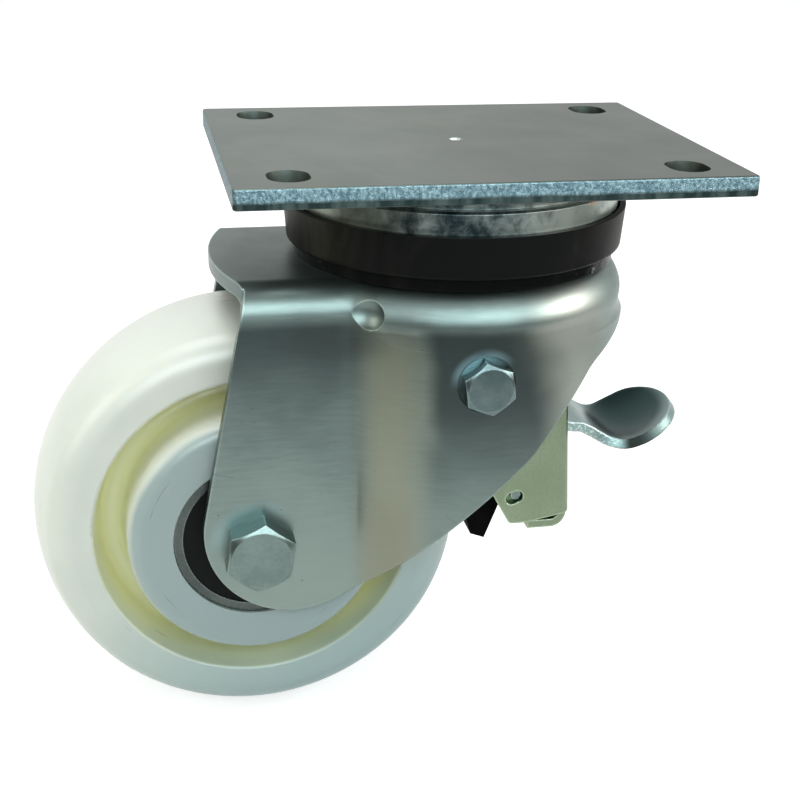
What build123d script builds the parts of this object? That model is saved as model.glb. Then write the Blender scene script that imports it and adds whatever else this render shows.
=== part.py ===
from build123d import *
from math import asin, atan2, cos, degrees, hypot, radians, sin, sqrt, tan
import os

# Braked swivel castor with a plate fixing.
# Millimetres. The origin is the middle of the plate's upper face, on the swivel axis.
# +Z is up, X runs across (along the axle) and Y runs along the direction of travel.
# The wheel trails towards -Y and the brake pedal points towards +Y.

# Driving sizes

# mounting plate
plate_length = 135.0
plate_width = 110.0
plate_thickness = 5.5
plate_corner = 1.2
plate_edge_round = 0.6
slot_width = 11.0
slot_length = 14.0
slot_margin_across = 13.0
slot_margin_along = 15.0
centre_mark_radius = 1.8

# wheel and its place under the plate
tread_to_crown = 9.0
wheel_offset = 61.0
wheel_diameter = 125.0
wheel_width = 48.0
tread_crown = 6.3
tread_shoulder = 8.0
hub_length = 60.0
hub_radius = 36.0
rim_inner_radius = 45.5
groove_depth = 15.0
groove_round = 3.0
hub_round = 4.0
lip_round = 1.0

# ball bearings of the wheel
bearing_bore = 20.0
bearing_outside = 47.0
bearing_width = 14.0
bearing_recess = 1.0
bearing_ball = 7.9
bearing_ball_count = 8
bearing_lip = 2.8
seal_thickness = 0.8

# axle
axle_thread = 12.0
axle_head_across_flats = 18.0
axle_head_height = 7.5
axle_nut_height = 10.8

# swivel head
head_height = 25.5
race_wall = 11.5
race_neck_step = 2.5
race_neck_height = 4.2
race_height = 14.0
race_bore = 13.0
ball_circle = 35.0
ball_radius = 5.0
ball_count = 18
king_pin_diameter = 16.0
lower_ball_circle = 18.5
lower_ball_radius = 3.0
lower_ball_count = 16
king_cup_radius = 23.0
king_cup_thickness = 4.0
king_nut_across_flats = 24.0
king_nut_height = 5.5

# dust seal
seal_rim_gap = 0.8
seal_taper = 0.9
seal_foot_step = 2.1
seal_band_height = 11.6
seal_foot_height = 3.6
seal_lip = 1.6

# pressed fork
sheet = 4.0
cup_margin = 3.3
hub_to_leg = 1.5
crown_bend = 8.5
crease_round = 6.0
front_overhang = 2.0
crown_bulge = 7.3
lobe_radius = 25.2
lobe_forward = 10.0
lobe_above_axle = 4.8
skirt_height = 14.0
skirt_slope = 29.0
skirt_corner_y = 31.5
skirt_round = 12.0
knee_y = 13.0
knee_drop = 47.0
knee_round = 30.0
waist_start = 20.0
waist_lead = 16.0
dent_radius = 4.1
dent_depth = 1.3

# brake
brake_bolt_y = -1.2
brake_bolt_drop = 24.5
brake_thread = 8.0
brake_head_across_flats = 13.0
brake_head_height = 5.3
brake_nut_height = 6.5
spot_face_radius = 7.8
bracket_half_width = 20.0
bracket_sheet = 2.5
bracket_boss_radius = 11.0
bracket_below_axle = 5.9
bracket_bend = 3.0
web_foot_y = 34.9
bracket_corner = 2.0
strip_slot_drop = 4.0
strip_slot_height = 19.0
web_lean = 3.6
lip_width = 30.0
lip_drop = 3.3
pivot_tube_radius = 5.2
strap_thickness = 3.0
guide_pin_radius = 1.6
guide_pin_y = 17.6
guide_pin_above_axle = 2.9
shoe_gap = 2.0
shoe_rivet_radius = 2.0
shoe_turn = 1.75
lever_pin_radius = 3.0
lever_pin_y = 20.0
lever_pin_above_axle = 29.5
cam_offset = 4.5
cam_radius = 5.0
cam_start_angle = 45.0
cam_thickness = 3.0
strip_width = 25.0
strip_thickness = 3.0
strip_low_y = 50.0
strip_low_drop = 16.9
strip_slope = 21.3
strip_join = 4.0
pad_half_width = 15.2
pad_corner = 11.0
pad_end_y = 72.7
pad_dish_radius = 34.0

# clearances
running_gap = 0.08
ball_gap = 0.15
side_gap = 0.3
bolt_gap = 0.2

# Heights and places that follow from the sizes

plate_bottom = -plate_thickness
slot_spacing_across = plate_width - 2 * slot_margin_across
slot_spacing_along = plate_length - 2 * slot_margin_along
crown_top = plate_bottom - head_height
crown_bottom = crown_top - sheet
wheel_radius = wheel_diameter / 2
axle_y = -wheel_offset
axle_z = crown_bottom - tread_to_crown - wheel_radius
race_radius = ball_circle + race_wall
race_neck_radius = race_radius - race_neck_step
race_bottom = plate_bottom - race_height
seal_top_radius = race_radius + seal_lip + seal_rim_gap
seal_band_radius = seal_top_radius - seal_taper
seal_foot_radius = seal_band_radius - seal_foot_step
cup_radius = race_radius + cup_margin
leg_inner = hub_length / 2 + hub_to_leg
leg_half_width = leg_inner + sheet
fork_front = wheel_offset + front_overhang
brake_bolt_z = crown_top - brake_bolt_drop
bracket_bottom = axle_z - bracket_below_axle
guide_pin_z = axle_z + guide_pin_above_axle
lever_pin_z = axle_z + lever_pin_above_axle

os.makedirs("parts", exist_ok=True)


def side_view(offset=0.0):
    """Sketching plane seen from +X: its x is Y and its y is Z."""
    return Plane.YZ.offset(offset)


def hexagon(across_flats):
    return across_flats / sqrt(3)


# Mounting plate

with BuildPart() as top_plate:
    with BuildSketch(Plane.XY.offset(plate_bottom)) as plate_plan:
        RectangleRounded(plate_width, plate_length, plate_corner)
        with GridLocations(slot_spacing_across, slot_spacing_along, 2, 2):
            SlotOverall(slot_length, slot_width, mode=Mode.SUBTRACT)
    extrude(amount=plate_thickness)
    rims = top_plate.faces().sort_by(Axis.Z)[-1].outer_wire().edges()
    rims += top_plate.faces().sort_by(Axis.Z)[0].outer_wire().edges()
    fillet(rims, plate_edge_round)
    with Locations((0, 0, 0)):
        Sphere(centre_mark_radius, mode=Mode.SUBTRACT)
top_plate.part.label = "top_plate"
export_step(top_plate.part, "parts/top_plate.step")

# Swivel head

upper_ball_z = race_bottom - ball_radius * 0.4

# Hardened ring welded under the plate, with the ball groove in its lower face.
with BuildPart() as upper_race:
    with BuildSketch(Plane.XZ) as race_section:
        with BuildLine():
            Polyline(
                (race_bore, plate_bottom),
                (race_neck_radius, plate_bottom),
                (race_neck_radius, plate_bottom - race_neck_height),
                (race_radius, plate_bottom - race_neck_height),
                (race_radius, race_bottom),
                (race_bore, race_bottom),
                close=True,
            )
        make_face()
        with Locations((ball_circle, upper_ball_z)):
            Circle(ball_radius + ball_gap, mode=Mode.SUBTRACT)
    revolve(axis=Axis.Z)
    neck_corner = upper_race.edges().filter_by(GeomType.CIRCLE)
    neck_corner = neck_corner.filter_by(lambda e: abs(e.radius - race_radius) < 1e-3)
    chamfer(neck_corner, 0.6)
upper_race.part.label = "upper_race"
export_step(upper_race.part, "parts/upper_race.step")

lower_ball_z = crown_bottom - lower_ball_radius * 0.85
cup_top = lower_ball_z - lower_ball_radius * 0.4
cup_bottom = cup_top - king_cup_thickness
king_nut_bottom = cup_bottom - king_nut_height

# King pin, welded under the plate, that carries the lower bearing cup and its nut.
with BuildPart() as king_pin:
    with BuildSketch(Plane.XY.offset(plate_bottom)):
        Circle(race_bore - side_gap)
    extrude(amount=-race_neck_height)
    with BuildSketch(Plane.XY.offset(plate_bottom)):
        Circle(king_pin_diameter / 2)
    extrude(amount=-(plate_bottom - king_nut_bottom + 0.5))
    chamfer(king_pin.faces().sort_by(Axis.Z)[0].edges(), 1.0)
king_pin.part.label = "king_pin"
export_step(king_pin.part, "parts/king_pin.step")

with BuildPart() as upper_balls:
    with Locations(Location((0, 0, upper_ball_z))):
        with PolarLocations(ball_circle, ball_count):
            Sphere(ball_radius)
upper_balls.part.label = "upper_balls"
export_step(upper_balls.part, "parts/upper_balls.step")

# Lower track of the main bearing, seated on the fork's crown inside the seal.
crown_race_top = upper_ball_z - ball_radius * 0.4
crown_race_bore = king_cup_radius + 3.0
with BuildPart() as crown_race:
    with BuildSketch(Plane.XZ):
        with Locations((crown_race_bore, crown_top)):
            Rectangle(
                seal_foot_radius - seal_lip - running_gap - crown_race_bore,
                crown_race_top - crown_top,
                align=(Align.MIN, Align.MIN),
            )
        with Locations((ball_circle, upper_ball_z)):
            Circle(ball_radius + ball_gap, mode=Mode.SUBTRACT)
    revolve(axis=Axis.Z)
crown_race.part.label = "crown_race"
export_step(crown_race.part, "parts/crown_race.step")

# Black dust seal: a slightly tapered band with a smaller foot that sits on the crown.
seal_top = crown_top + seal_foot_height + seal_band_height
with BuildPart() as dust_seal:
    with BuildSketch(Plane.XZ) as seal_section:
        with BuildLine():
            Polyline(
                (seal_foot_radius - seal_lip, crown_top),
                (seal_foot_radius, crown_top),
                (seal_foot_radius, crown_top + seal_foot_height),
                (seal_band_radius, crown_top + seal_foot_height),
                (seal_top_radius, seal_top),
                (seal_top_radius - seal_lip, seal_top),
                (seal_band_radius - seal_lip + 0.4, race_bottom - 1.0),
                (seal_foot_radius - seal_lip, race_bottom - 1.0),
                close=True,
            )
        make_face()
        lower_corner = (seal_band_radius, crown_top + seal_foot_height, 0)
        fillet(seal_section.vertices().sort_by_distance(lower_corner)[0], 0.9)
    revolve(axis=Axis.Z)
dust_seal.part.label = "dust_seal"
export_step(dust_seal.part, "parts/dust_seal.step")

# Fork

fork_floor = axle_z - lobe_radius
crease_y = -sqrt(cup_radius**2 - leg_half_width**2)
# the cup's section beside its plain radius: how far it stands in, and how far below the crown
waist_profile = (
    (9.5, -0.15),
    (6.9, 0.5),
    (4.2, 2.0),
    (1.7, 5.6),
    (0.9, 9.3),
    (1.1, 12.4),
    (0.6, 14.4),
    (-0.5, 16.2),
)


def waist_line(inset):
    """Section of the cup's waist, moved inwards by the given amount."""
    points = []
    last = len(waist_profile) - 1
    for index, (depth, drop) in enumerate(waist_profile):
        before, after = waist_profile[max(index - 1, 0)], waist_profile[min(index + 1, last)]
        outwards, down = before[0] - after[0], after[1] - before[1]
        length = hypot(outwards, down)
        points.append((-depth - inset * down / length, crown_top - drop - inset * outwards / length))
    return points


def pressed_form(inset):
    """The stamped form of the fork, moved inwards by the given amount."""
    top = crown_top - inset
    half = leg_half_width - inset
    reach = fork_front + lobe_radius
    with BuildPart() as form:
        with BuildSketch(Plane.XY.offset(fork_floor)) as plan:
            Circle(cup_radius - inset)
            with Locations((0, -reach / 2)):
                Rectangle(2 * half, reach)
            creases = plan.vertices().group_by(Axis.Y)[-1]
            fillet(creases, crease_round + inset)
        extrude(amount=top - fork_floor)
        rim = form.faces().sort_by(Axis.Z)[-1].outer_wire().edges()
        front = rim.sort_by(Axis.Y)[0]
        fillet(rim - ShapeList([front]), crown_bend - inset)
        # the cup's waist: narrower shoulder and a shallow hollow, which run out at the creases
        crease_angle = degrees(atan2(crease_y, leg_half_width))
        with BuildLine() as waist_path:
            bend = CenterArc((0, 0), cup_radius, crease_angle + waist_start, 180 - 2 * (crease_angle + waist_start))
            Line(bend @ 0, bend @ 0 - (bend % 0) * waist_lead)
            Line(bend @ 1, bend @ 1 + (bend % 1) * waist_lead)
        first = bend @ 0 - (bend % 0) * waist_lead
        section_plane = Plane(origin=(first.X, first.Y, 0), x_dir=(bend @ 0).normalized(), z_dir=-(bend % 0))
        line = waist_line(inset)
        with BuildSketch(section_plane):
            with BuildLine():
                Spline(*line)
                Polyline(line[-1], (sheet, line[-1][1]), (sheet, line[0][1]), line[0])
            make_face()
        sweep(path=waist_path.wires()[0], mode=Mode.SUBTRACT)
    return form.part


knee_z = crown_top - knee_drop
skirt_z = crown_top - skirt_height
lobe_y = axle_y + lobe_forward
lobe_z = axle_z + lobe_above_axle
skirt_reach = cup_radius + 1
skirt_corner_z = skirt_z - (skirt_reach - skirt_corner_y) * tan(radians(skirt_slope - 1))
# the legs' straight front edge touches the lobe and ends at the front of the crown
front_gap = hypot(lobe_y + fork_front, crown_top - lobe_z)
front_angle = atan2(lobe_z - crown_top, lobe_y + fork_front) - asin(lobe_radius / front_gap)


def front_edge_y(z):
    """The front edge of the legs at a height."""
    return -fork_front + (z - crown_top) / tan(front_angle)


with BuildPart() as fork_bounds:
    # outline of the legs and the skirt, seen from the side
    with BuildSketch(side_view()) as leg_outline:
        with BuildLine():
            CenterArc((lobe_y, lobe_z), lobe_radius, 0, 360)
            Polyline(
                (front_edge_y(crown_top + sheet), crown_top + sheet),
                (0, crown_top + sheet),
                (knee_y, knee_z),
                (-fork_front, crown_bottom),
                close=True,
            )
        make_hull()
        with BuildLine():
            Polyline(
                (-fork_front / 2, crown_top + sheet),
                (skirt_reach, crown_top + sheet),
                (skirt_reach, skirt_z),
                (skirt_corner_y, skirt_corner_z),
                (knee_y, knee_z),
                (-fork_front / 2, knee_z),
                close=True,
            )
        make_face()
        fillet(leg_outline.vertices().sort_by_distance((skirt_corner_y, skirt_corner_z, 0))[0], skirt_round)
        fillet(leg_outline.vertices().sort_by_distance((knee_y, knee_z, 0))[0], knee_round)
    extrude(amount=skirt_reach, both=True)
    # rounded nose of the crown, between the legs
    with BuildSketch(Plane.XY.offset(crown_top + sheet)):
        nose_half = leg_inner - side_gap
        nose_y = front_edge_y(crown_top - sheet)
        with BuildLine():
            nose_arc = ThreePointArc((-nose_half, nose_y), (0, -fork_front - crown_bulge), (nose_half, nose_y))
            Polyline(nose_arc @ 1, (nose_half, -fork_front / 2), (-nose_half, -fork_front / 2), nose_arc @ 0)
        make_face()
    extrude(amount=-sheet - crown_bend + 1)

with BuildPart() as fork:
    add(pressed_form(0.0))
    add(pressed_form(sheet), mode=Mode.SUBTRACT)
    add(fork_bounds.part, mode=Mode.INTERSECT)
    # king pin hole and the ball groove in the underside of the crown
    with Locations((0, 0, crown_top)):
        Hole(king_pin_diameter / 2 + 4)
    with BuildSketch(Plane.XZ):
        with Locations((lower_ball_circle, lower_ball_z)):
            Circle(lower_ball_radius + ball_gap)
    revolve(axis=Axis.Z, mode=Mode.SUBTRACT)
    # axle and brake bolt holes through both legs
    with BuildSketch(side_view()):
        with Locations((axle_y, axle_z)):
            Circle(axle_thread / 2 + bolt_gap)
        with Locations((brake_bolt_y, brake_bolt_z)):
            Circle(brake_thread / 2 + bolt_gap)
    extrude(amount=cup_radius + 1, both=True, mode=Mode.SUBTRACT)
    # flat seats for the brake bolt's head and nut
    seat_x = sqrt(cup_radius**2 - (abs(brake_bolt_y) + spot_face_radius + side_gap) ** 2)
    for side in (1, -1):
        with BuildSketch(side_view(side * seat_x)):
            with Locations((brake_bolt_y, brake_bolt_z)):
                Circle(spot_face_radius)
        extrude(amount=side * 3, mode=Mode.SUBTRACT)
    # round stiffening dents where the shoulder meets each leg
    dent_y = crease_y + crown_bend / 4
    dent_ball = (dent_radius**2 + dent_depth**2) / (2 * dent_depth)
    for side in (1, -1):
        dent_axis = Vector(side * 0.9, -0.25, 0.35).normalized()
        dent_seat = Vector(side * sqrt(cup_radius**2 - dent_y**2), dent_y, crown_top - crown_bend)
        with Locations(Location(dent_seat + dent_axis * (dent_ball - dent_depth))):
            Sphere(dent_ball, mode=Mode.SUBTRACT)
fork.part.label = "fork"
export_step(fork.part, "parts/fork.step")

# Lower swivel bearing

with BuildPart() as lower_balls:
    with Locations(Location((0, 0, lower_ball_z))):
        with PolarLocations(lower_ball_circle, lower_ball_count):
            Sphere(lower_ball_radius)
lower_balls.part.label = "lower_balls"
export_step(lower_balls.part, "parts/lower_balls.step")

with BuildPart() as king_cup:
    with BuildSketch(Plane.XZ):
        with Locations((king_pin_diameter / 2 + running_gap, cup_bottom)):
            Rectangle(
                king_cup_radius - king_pin_diameter / 2 - running_gap,
                king_cup_thickness,
                align=(Align.MIN, Align.MIN),
            )
        with Locations((lower_ball_circle, lower_ball_z)):
            Circle(lower_ball_radius + ball_gap, mode=Mode.SUBTRACT)
    revolve(axis=Axis.Z)
    chamfer(king_cup.faces().sort_by(Axis.Z)[0].outer_wire().edges(), 1.0)
king_cup.part.label = "king_cup"
export_step(king_cup.part, "parts/king_cup.step")

with BuildPart() as king_nut:
    with BuildSketch(Plane.XY.offset(cup_bottom)):
        RegularPolygon(hexagon(king_nut_across_flats), 6)
        Circle(king_pin_diameter / 2 + running_gap, mode=Mode.SUBTRACT)
    extrude(amount=-king_nut_height)
king_nut.part.label = "king_nut"
export_step(king_nut.part, "parts/king_nut.step")

# Wheel

half_width = wheel_width / 2
half_hub = hub_length / 2
bearing_outer_face = half_hub - bearing_recess
bearing_inner_face = bearing_outer_face - bearing_width
wheel_axis = Axis((0, axle_y, axle_z), (1, 0, 0))
# sections of the turned pieces: x is the distance along the axle, y the radius
turning = Plane((0, axle_y, axle_z), x_dir=(1, 0, 0), z_dir=(0, -1, 0))

with BuildPart() as wheel:
    with BuildSketch(turning) as wheel_section:
        with BuildLine():
            shoulder_r = wheel_radius - tread_crown
            ThreePointArc((-half_width, shoulder_r), (0, wheel_radius), (half_width, shoulder_r))
            Polyline(
                (half_width, shoulder_r),
                (half_width, rim_inner_radius),
                (half_width - groove_depth, rim_inner_radius - 2),
                (half_width - groove_depth, hub_radius + 1),
                (half_hub, hub_radius),
                (half_hub, bearing_outside / 2),
                (bearing_inner_face, bearing_outside / 2),
                (bearing_inner_face, bearing_outside / 2 - 3.5),
                (-bearing_inner_face, bearing_outside / 2 - 3.5),
                (-bearing_inner_face, bearing_outside / 2),
                (-half_hub, bearing_outside / 2),
                (-half_hub, hub_radius),
                (-half_width + groove_depth, hub_radius + 1),
                (-half_width + groove_depth, rim_inner_radius - 2),
                (-half_width, rim_inner_radius),
                (-half_width, shoulder_r),
            )
        make_face()
        corners = wheel_section.vertices()
        shoulders = corners.filter_by(lambda v: abs(v.Y - shoulder_r) < 1e-3)
        fillet(shoulders, tread_shoulder)
        floor_x = half_width - groove_depth
        floors = wheel_section.vertices().filter_by(lambda v: abs(abs(v.X) - floor_x) < 1e-3)
        fillet(floors, groove_round)
        lips = wheel_section.vertices().filter_by(lambda v: abs(v.Y - rim_inner_radius) < 1e-3)
        fillet(lips, lip_round)
        hub_edges = wheel_section.vertices().filter_by(lambda v: abs(v.Y - hub_radius) < 1e-3)
        fillet(hub_edges, hub_round)
    revolve(axis=wheel_axis)
wheel.part.label = "wheel"
export_step(wheel.part, "parts/wheel.step")

ball_row = (bearing_bore + bearing_outside) / 4
inner_ring_radius = ball_row - bearing_ball * 0.35
outer_ring_bore = ball_row + bearing_ball * 0.35
bearing_middle = (bearing_outer_face + bearing_inner_face) / 2
seal_seat_radius = bearing_outside / 2 - bearing_lip
seal_inset = 0.3
seal_faces = (bearing_outer_face - seal_inset, bearing_inner_face + seal_inset + seal_thickness)

with BuildPart() as bearing_outer_rings:
    with BuildSketch(turning):
        for side in (1, -1):
            with Locations((side * bearing_middle, (outer_ring_bore + bearing_outside / 2) / 2)):
                Rectangle(bearing_width, bearing_outside / 2 - outer_ring_bore)
            with Locations((side * bearing_middle, ball_row)):
                Circle(bearing_ball / 2 + running_gap, mode=Mode.SUBTRACT)
            # stepped seats for the seals at both faces
            with Locations((side * bearing_middle, (outer_ring_bore + seal_seat_radius) / 2)):
                with GridLocations(bearing_width - seal_inset - seal_thickness, 1, 2, 1):
                    Rectangle(seal_inset + seal_thickness, seal_seat_radius - outer_ring_bore, mode=Mode.SUBTRACT)
    revolve(axis=wheel_axis)
bearing_outer_rings.part.label = "bearing_outer_rings"
export_step(bearing_outer_rings.part, "parts/bearing_outer_rings.step")

with BuildPart() as bearing_inner_rings:
    with BuildSketch(turning):
        for side in (1, -1):
            with Locations((side * bearing_middle, (inner_ring_radius + bearing_bore / 2) / 2)):
                Rectangle(bearing_width, inner_ring_radius - bearing_bore / 2)
            with Locations((side * bearing_middle, ball_row)):
                Circle(bearing_ball / 2 + running_gap, mode=Mode.SUBTRACT)
    revolve(axis=wheel_axis)
bearing_inner_rings.part.label = "bearing_inner_rings"
export_step(bearing_inner_rings.part, "parts/bearing_inner_rings.step")

with BuildPart() as bearing_balls:
    for side in (1, -1):
        row_plane = Plane((side * bearing_middle, axle_y, axle_z), x_dir=(0, 1, 0), z_dir=(1, 0, 0))
        with Locations(row_plane):
            with PolarLocations(ball_row, bearing_ball_count):
                Sphere(bearing_ball / 2)
bearing_balls.part.label = "bearing_balls"
export_step(bearing_balls.part, "parts/bearing_balls.step")

with BuildPart() as bearing_seals:
    with BuildSketch(turning):
        for face in seal_faces:
            for side in (1, -1):
                middle = side * (face - seal_thickness / 2)
                ring_middle = (inner_ring_radius + running_gap + seal_seat_radius) / 2
                with Locations((middle, ring_middle)):
                    Rectangle(seal_thickness, seal_seat_radius - inner_ring_radius - running_gap)
    revolve(axis=wheel_axis)
bearing_seals.part.label = "bearing_seals"
export_step(bearing_seals.part, "parts/bearing_seals.step")

# Axle

with BuildPart() as axle_tube:
    with BuildSketch(side_view(-leg_inner)):
        with Locations((axle_y, axle_z)):
            Circle(bearing_bore / 2)
            Circle(axle_thread / 2 + bolt_gap, mode=Mode.SUBTRACT)
    extrude(amount=2 * leg_inner)
axle_tube.part.label = "axle_tube"
export_step(axle_tube.part, "parts/axle_tube.step")

with BuildPart() as inner_spacer:
    with BuildSketch(side_view(-bearing_inner_face)):
        with Locations((axle_y, axle_z)):
            Circle(inner_ring_radius)
            Circle(bearing_bore / 2 + running_gap, mode=Mode.SUBTRACT)
    extrude(amount=2 * bearing_inner_face)
inner_spacer.part.label = "inner_spacer"
export_step(inner_spacer.part, "parts/inner_spacer.step")

with BuildPart() as end_bushes:
    for side in (1, -1):
        with BuildSketch(side_view(side * bearing_outer_face)):
            with Locations((axle_y, axle_z)):
                Circle(inner_ring_radius)
                Circle(bearing_bore / 2 + running_gap, mode=Mode.SUBTRACT)
        extrude(amount=side * (leg_inner - bearing_outer_face))
end_bushes.part.label = "end_bushes"
export_step(end_bushes.part, "parts/end_bushes.step")


def hex_bolt(centre, seat, shank_end, thread, across_flats, head_height, turn):
    """Bolt along X: the head sits on +seat and the shank ends at -shank_end."""
    with BuildPart() as bolt:
        with BuildSketch(side_view(seat)):
            with Locations(Location((centre[0], centre[1], 0), (0, 0, turn))):
                RegularPolygon(hexagon(across_flats), 6)
        extrude(amount=head_height)
        with BuildSketch(Plane((0, centre[0], centre[1]), x_dir=(1, 0, 0), z_dir=(0, -1, 0))):
            # the 30 degree chamfer that rounds the corners of the head
            corner = hexagon(across_flats)
            flat = across_flats / 2 * 0.92
            with BuildLine():
                Polyline(
                    (seat + head_height, flat),
                    (seat + head_height - (corner - flat) * tan(radians(30)), corner),
                    (seat + head_height - (corner - flat) * tan(radians(30)), corner + 1),
                    (seat + head_height + 1, corner + 1),
                    (seat + head_height + 1, flat),
                    close=True,
                )
            make_face()
        revolve(axis=Axis((0, centre[0], centre[1]), (1, 0, 0)), mode=Mode.SUBTRACT)
        with BuildSketch(side_view(seat)):
            with Locations(centre):
                Circle(thread / 2)
        extrude(amount=-(seat + shank_end))
        chamfer(bolt.faces().sort_by(Axis.X)[0].edges(), 1.0)
    return bolt.part


def hex_nut(centre, seat, thread, across_flats, height, turn):
    """Nut along X that sits on -seat."""
    with BuildPart() as nut:
        with BuildSketch(side_view(-seat)):
            with Locations(Location((centre[0], centre[1], 0), (0, 0, turn))):
                RegularPolygon(hexagon(across_flats), 6)
            with Locations(centre):
                Circle(thread / 2 + running_gap, mode=Mode.SUBTRACT)
        extrude(amount=-height)
    return nut.part


with BuildPart() as axle_bolt:
    add(
        hex_bolt(
            (axle_y, axle_z),
            leg_half_width,
            leg_half_width + axle_nut_height + 2.5,
            axle_thread,
            axle_head_across_flats,
            axle_head_height,
            82,
        )
    )
axle_bolt.part.label = "axle_bolt"
export_step(axle_bolt.part, "parts/axle_bolt.step")

with BuildPart() as axle_nut:
    add(
        hex_nut(
            (axle_y, axle_z),
            leg_half_width,
            axle_thread,
            axle_head_across_flats,
            axle_nut_height,
            20,
        )
    )
axle_nut.part.label = "axle_nut"
export_step(axle_nut.part, "parts/axle_nut.step")

# Brake

brake_centre = (brake_bolt_y, brake_bolt_z)

with BuildPart() as brake_bolt:
    add(
        hex_bolt(
            brake_centre,
            seat_x,
            seat_x + brake_nut_height + 2.0,
            brake_thread,
            brake_head_across_flats,
            brake_head_height,
            98,
        )
    )
brake_bolt.part.label = "brake_bolt"
export_step(brake_bolt.part, "parts/brake_bolt.step")

with BuildPart() as brake_nut:
    add(
        hex_nut(
            brake_centre,
            seat_x,
            brake_thread,
            brake_head_across_flats,
            brake_nut_height,
            35,
        )
    )
brake_nut.part.label = "brake_nut"
export_step(brake_nut.part, "parts/brake_nut.step")

# Tubes that hold the bracket in the middle of the fork.
cheek_inner = bracket_half_width - bracket_sheet
spacer_radius = pivot_tube_radius + 1.0
cup_inner = cup_radius - sheet
spacer_end = sqrt(cup_inner**2 - (abs(brake_bolt_y) + spacer_radius) ** 2) - running_gap
with BuildPart() as brake_spacers:
    for side in (1, -1):
        with BuildSketch(side_view(side * bracket_half_width)):
            with Locations(brake_centre):
                Circle(spacer_radius)
                Circle(brake_thread / 2 + running_gap, mode=Mode.SUBTRACT)
        extrude(amount=side * (spacer_end - bracket_half_width))
brake_spacers.part.label = "brake_spacers"
export_step(brake_spacers.part, "parts/brake_spacers.step")

with BuildPart() as pivot_tube:
    with BuildSketch(side_view(-cheek_inner)):
        with Locations(brake_centre):
            Circle(pivot_tube_radius)
            Circle(brake_thread / 2 + running_gap, mode=Mode.SUBTRACT)
    extrude(amount=2 * cheek_inner)
pivot_tube.part.label = "pivot_tube"
export_step(pivot_tube.part, "parts/pivot_tube.step")

# U-shaped bracket: two cheeks, a web with the pedal's slot and a folded lip.
web_slope = tan(radians(web_lean))
lever_centre = (lever_pin_y, lever_pin_z)
guide_centre = (guide_pin_y, guide_pin_z)
guide_reach = hypot(guide_pin_y - brake_bolt_y, guide_pin_z - brake_bolt_z)
guide_travel = guide_reach * radians(shoe_turn)
guide_tilt = degrees(atan2(guide_pin_y - brake_bolt_y, brake_bolt_z - guide_pin_z))


def web_y(z):
    """Outer face of the leaning web at a height."""
    return web_foot_y - (z - bracket_bottom) * web_slope


with BuildPart() as brake_bracket:
    with BuildSketch(side_view()) as cheek_outline:
        with BuildLine():
            CenterArc(brake_centre, bracket_boss_radius, 0, 360)
            Polyline(
                (web_y(brake_bolt_z), brake_bolt_z),
                (web_foot_y - 0.3, bracket_bottom + 2.6),
                (guide_pin_y + 3.0, bracket_bottom),
                (guide_pin_y - 2.0, bracket_bottom),
                (guide_pin_y - 8.0, guide_pin_z + 2.0),
                close=True,
            )
        make_hull()
        corner = (guide_pin_y - 2.0, bracket_bottom, 0)
        fillet(cheek_outline.vertices().sort_by_distance(corner)[0], bracket_corner)
        with BuildLine():
            Polyline(
                (web_y(crown_bottom), crown_bottom),
                (web_y(brake_bolt_z), brake_bolt_z),
                (brake_bolt_y + 8, brake_bolt_z),
                (king_cup_radius - 4, brake_bolt_z + bracket_boss_radius),
                (king_cup_radius - 3, crown_bottom),
                close=True,
            )
        make_face()
    extrude(amount=bracket_half_width, both=True)
    # the channel between the cheeks
    with BuildSketch(side_view()):
        with BuildLine():
            Polyline(
                (web_y(crown_top) - bracket_sheet, crown_top),
                (web_y(bracket_bottom - 5) - bracket_sheet, bracket_bottom - 5),
                (brake_bolt_y - 2 * bracket_boss_radius, bracket_bottom - 5),
                (brake_bolt_y - 2 * bracket_boss_radius, crown_top),
                close=True,
            )
        make_face()
    extrude(amount=cheek_inner, both=True, mode=Mode.SUBTRACT)
    bends = brake_bracket.edges().filter_by(
        lambda e: abs(abs(e.center().X) - bracket_half_width) < 1e-3
        and e.length > 20
        and abs(e.center().Y - web_y(e.center().Z)) < 0.5
    )
    fillet(bends, bracket_bend)
    # slot for the pedal's strip
    slot_top = lever_pin_z - strip_slot_drop
    slot_bottom = slot_top - strip_slot_height
    with BuildSketch(Plane.XZ.offset(-web_foot_y - 5)):
        with Locations((0, (slot_top + slot_bottom) / 2)):
            RectangleRounded(strip_width + 2.4, slot_top - slot_bottom, 1.5)
    extrude(amount=12, mode=Mode.SUBTRACT)
    # bolt, pin and guide holes in both cheeks
    with BuildSketch(side_view()):
        with Locations(brake_centre):
            Circle(brake_thread / 2 + running_gap)
        with Locations(lever_centre):
            Circle(lever_pin_radius)
        guide_shift = guide_travel / 2
        slot_middle = (
            guide_pin_y - guide_shift * cos(radians(guide_tilt)),
            guide_pin_z - guide_shift * sin(radians(guide_tilt)),
        )
        with Locations(Location((slot_middle[0], slot_middle[1], 0), (0, 0, guide_tilt))):
            SlotOverall(guide_travel + 2 * guide_pin_radius + 0.6, 2 * guide_pin_radius + 0.6)
    extrude(amount=bracket_half_width, both=True, mode=Mode.SUBTRACT)
    # lip folded in under the web
    with BuildSketch(side_view(-lip_width / 2)) as lip:
        with BuildLine():
            FilletPolyline(
                (web_y(bracket_bottom + 8) - bracket_sheet / 2, bracket_bottom + 8),
                (web_foot_y - bracket_sheet / 2 + 0.2, bracket_bottom - lip_drop),
                (web_foot_y - 12, bracket_bottom - lip_drop),
                radius=3.5,
            )
        trace(line_width=bracket_sheet)
    extrude(amount=lip_width)
brake_bracket.part.label = "brake_bracket"
export_step(brake_bracket.part, "parts/brake_bracket.step")

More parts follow.
